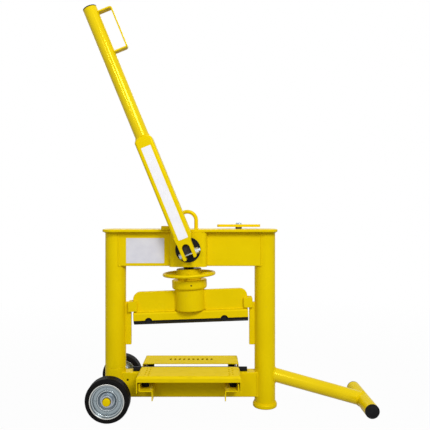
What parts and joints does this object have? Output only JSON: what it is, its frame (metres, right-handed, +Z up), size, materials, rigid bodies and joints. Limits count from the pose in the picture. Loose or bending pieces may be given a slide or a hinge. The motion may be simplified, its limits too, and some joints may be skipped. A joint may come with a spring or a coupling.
{
  "type": "manual stone splitter",
  "caption": "Wheeled manual stone splitter: a long lever turns an eccentric that presses a hanging, height-adjustable blade onto a stone on a sprung table above a fixed lower blade",
  "frame": {"origin": "on the ground, in the middle of the machine's bounding box", "axes": "+Z up, +X towards the T-shaped foot, -Y towards the lever side"},
  "size_m": [1.0358, 0.362, 1.4451],
  "materials": {
    "yellow_paint": "gloss yellow powder coat",
    "black_steel": "black hardened steel",
    "black_oxide": "black oxide",
    "buffer_rubber": "matt black rubber",
    "tyre_rubber": "black moulded rubber",
    "black_plastic": "black moulded plastic",
    "zinc_plate": "bright zinc plate",
    "machined_steel": "turned steel, oiled",
    "dark_spacer": "dark bare steel"
  },
  "bodies": {
    "frame": {"top_plate": "yellow_paint", "left_column": "yellow_paint", "right_column": "yellow_paint", "axle_post": "yellow_paint", "left_cross_beam": "yellow_paint", "right_cross_beam": "yellow_paint", "shaft_housing": "yellow_paint", "base_beam": "yellow_paint", "right_foot": "yellow_paint", "left_guide_rail": "yellow_paint", "right_guide_rail": "yellow_paint", "lower_blade": "black_steel", "table_brackets": "yellow_paint", "front_buffers": "buffer_rubber", "rear_buffers": "buffer_rubber", "stabiliser_tube": "yellow_paint", "foot_cross_tube": "yellow_paint", "foot_end_caps": "black_plastic", "lifting_loop": "yellow_paint", "lever_stop": "yellow_paint", "swivel_spacer": "dark_spacer", "swivel_bolt": "zinc_plate", "front_bearing": "black_oxide", "rear_bearing": "black_oxide", "wheel_axle": "zinc_plate", "axle_caps": "yellow_paint"},
    "swivel": {"swivel_bar": "yellow_paint"},
    "front_wheel": {"front_tyre": "tyre_rubber", "front_rim": "zinc_plate", "front_wheel_bush": "black_plastic"},
    "rear_wheel": {"rear_tyre": "tyre_rubber", "rear_rim": "zinc_plate", "rear_wheel_bush": "black_plastic"},
    "front_table_half": {"front_table": "yellow_paint"},
    "rear_table_half": {"rear_table": "yellow_paint"},
    "lever": {"eccentric_shaft": "black_oxide", "shaft_retainer": "zinc_plate", "retainer_screw": "zinc_plate", "lever_fork": "yellow_paint", "lever_box": "yellow_paint", "lever_tube": "yellow_paint", "lever_end_cap": "black_plastic", "grip_handle": "yellow_paint", "fork_bolt": "zinc_plate", "fork_nut": "zinc_plate"},
    "yoke": {"shaft_yoke": "machined_steel", "pivot_pin": "machined_steel"},
    "hanging_spindle": {"spindle": "black_steel"},
    "blade_carrier": {"socket_cap": "yellow_paint", "cap_screw": "black_oxide", "socket_tube": "yellow_paint", "thrust_washer": "machined_steel", "carrier_plate": "yellow_paint", "blade_holder": "yellow_paint", "upper_blade": "black_steel", "blade_bolts": "black_oxide", "guide_lugs": "yellow_paint"},
    "adjuster": {"adjuster_hub": "yellow_paint", "hand_ring": "yellow_paint"}
  },
  "joints": [
    {"name": "lever_swing", "type": "hinge", "parent": "frame", "child": "lever", "pos_m": [-0.15058, 0, 0.5824], "axis": [0, 1, 0], "range_deg": [0, 110]},
    {"name": "blade_stroke", "type": "slide", "parent": "frame", "child": "yoke", "axis": [0, 0, 1], "range_m": [-0.0136, 0]},
    {"name": "blade_swing", "type": "hinge", "parent": "yoke", "child": "hanging_spindle", "pos_m": [-0.15058, 0, 0.535], "axis": [0, 1, 0], "range_deg": [0, 2.1]},
    {"name": "blade_height", "type": "slide", "parent": "hanging_spindle", "child": "blade_carrier", "axis": [-0.0366, 0, 0.9993], "range_m": [-0.1001, 0.0041]},
    {"name": "hub_turn", "type": "hinge", "parent": "blade_carrier", "child": "adjuster", "pos_m": [-0.15058, 0, 0.535], "axis": [-0.0366, 0, 0.9993], "range_deg": [-3000, 120]},
    {"name": "front_wheel_spin", "type": "hinge", "parent": "frame", "child": "front_wheel", "pos_m": [-0.42058, -0.147, 0.076], "axis": [0, 1, 0], "continuous": true},
    {"name": "rear_wheel_spin", "type": "hinge", "parent": "frame", "child": "rear_wheel", "pos_m": [-0.42058, 0.147, 0.076], "axis": [0, 1, 0], "continuous": true},
    {"name": "front_table_sink", "type": "slide", "parent": "frame", "child": "front_table_half", "axis": [0, 0, 1], "range_m": [-0.008, 0], "stiffness_N_per_m": 20000, "springref_m": 0.002, "deforming": ["front_buffers"]},
    {"name": "rear_table_sink", "type": "slide", "parent": "frame", "child": "rear_table_half", "axis": [0, 0, 1], "range_m": [-0.008, 0], "stiffness_N_per_m": 20000, "springref_m": 0.002, "deforming": ["rear_buffers"]},
    {"name": "swivel_turn", "type": "hinge", "parent": "frame", "child": "swivel", "pos_m": [0.03542, 0.02, 0.665], "axis": [0, 0, 1], "range_deg": [-90, 90]}
  ],
  "couplings": [
    {"joint": "blade_stroke", "follows": "lever_swing", "m_per_rad": -0.0069902},
    {"joint": "blade_height", "follows": "hub_turn", "m_per_rad": 0.0019099}
  ]
}
